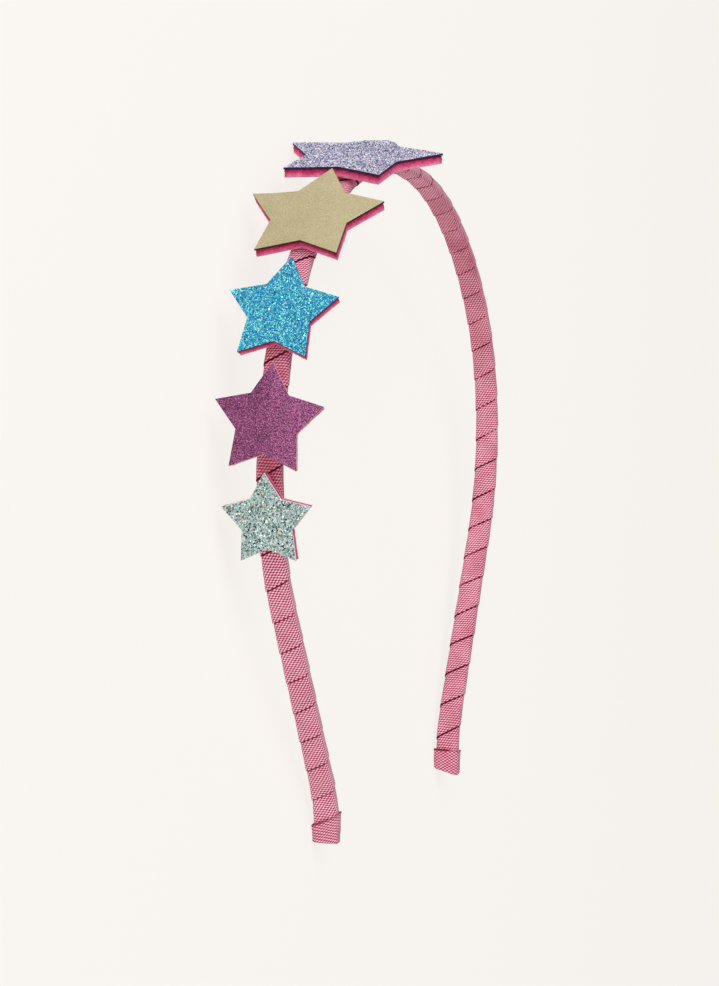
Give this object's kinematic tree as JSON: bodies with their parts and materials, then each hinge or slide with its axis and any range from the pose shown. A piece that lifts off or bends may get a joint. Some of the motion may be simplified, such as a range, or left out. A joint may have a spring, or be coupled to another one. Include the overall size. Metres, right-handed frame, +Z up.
{
  "type": "star headband",
  "caption": "Narrow ribbon-wrapped hair band with flared capped tips and a row of felt-backed glitter and metallic leather stars down one arm.",
  "frame": {"origin": "on the resting surface, under the middle of the headband's box", "axes": "the headband lies on its side: +Z up, +Y towards the crown, +X from the arm with the stars to the plain arm"},
  "size_m": [0.1352, 0.1352, 0.0309],
  "materials": {
    "rose_ribbon": "ribbed grosgrain ribbon, wound tightly, rose pink with darker seams",
    "raspberry_felt": "dense wool felt with a fuzzy cut edge",
    "lilac_glitter": "iridescent lilac glitter sheet with a dark cut edge",
    "gold_leather": "soft champagne gold metallic leather, fine grain",
    "azure_glitter": "turquoise glitter sheet with cyan sparkle",
    "purple_leather": "purple metallic leather, pebbled grain",
    "silver_glitter": "coarse silver and mint hologram glitter with dark flecks"
  },
  "bodies": {
    "root": {"wrapped_band": "rose_ribbon", "star_arm_cap": "rose_ribbon", "plain_arm_cap": "rose_ribbon", "lilac_felt": "raspberry_felt", "lilac_glitter": "lilac_glitter", "gold_felt": "raspberry_felt", "gold_leather": "gold_leather", "azure_felt": "raspberry_felt", "azure_glitter": "azure_glitter", "purple_felt": "raspberry_felt", "purple_leather": "purple_leather", "silver_felt": "raspberry_felt", "silver_glitter": "silver_glitter"}
  },
  "joints": []
}
